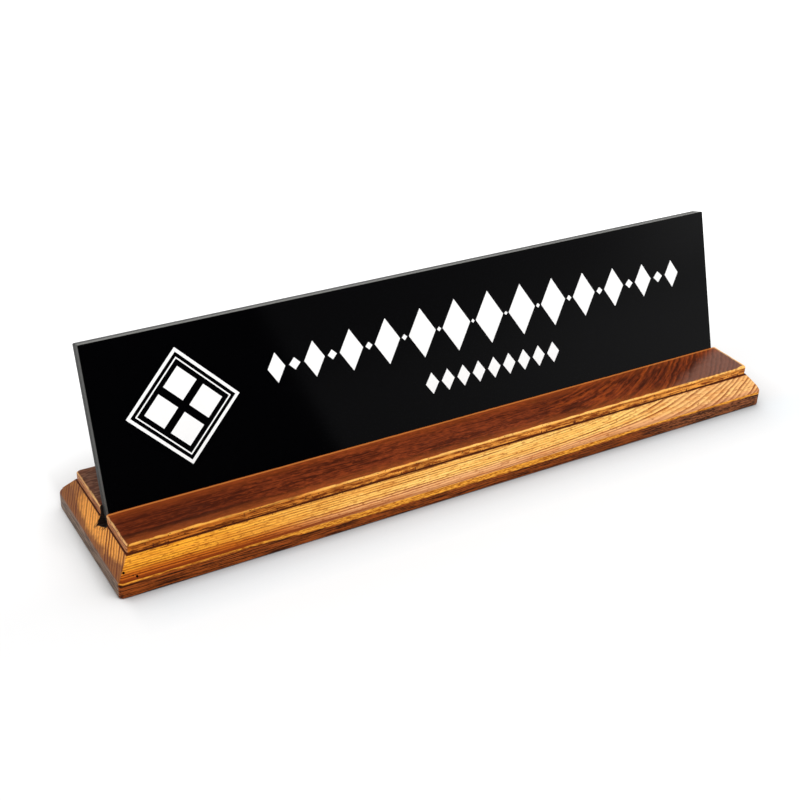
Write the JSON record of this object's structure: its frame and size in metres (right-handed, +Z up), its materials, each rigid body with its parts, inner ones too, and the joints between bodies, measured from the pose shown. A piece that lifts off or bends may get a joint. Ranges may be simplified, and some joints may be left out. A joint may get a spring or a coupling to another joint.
{
  "type": "desk name plate",
  "caption": "Free-standing desk name plate: a glossy black laminated plate leans back in the slot of a stained wooden base moulded on every side, and lifts out along its lean.",
  "frame": {"origin": "middle of the base's underside", "axes": "+X along the base's length to the right of a reader, +Y towards the back, +Z up"},
  "size_m": [0.305, 0.066, 0.0785],
  "materials": {
    "stained_pine": "brown-stained pine rubbed back to gold on the slopes and edges, thin satin varnish",
    "black_acrylic": "polished black face, sawn and scraped grey edge",
    "backing_acrylic": "polished black back, darker scraped edge",
    "white_vinyl": "thin cut white film stuck on the face"
  },
  "bodies": {
    "base": {"base": "stained_pine"},
    "plate": {"face_sheet": "black_acrylic", "backing_sheet": "backing_acrylic"}
  },
  "joints": [
    {"name": "plate_lift", "type": "slide", "parent": "base", "child": "plate", "axis": [0, 0.309, 0.9511], "range_m": [0, 0.015]}
  ]
}
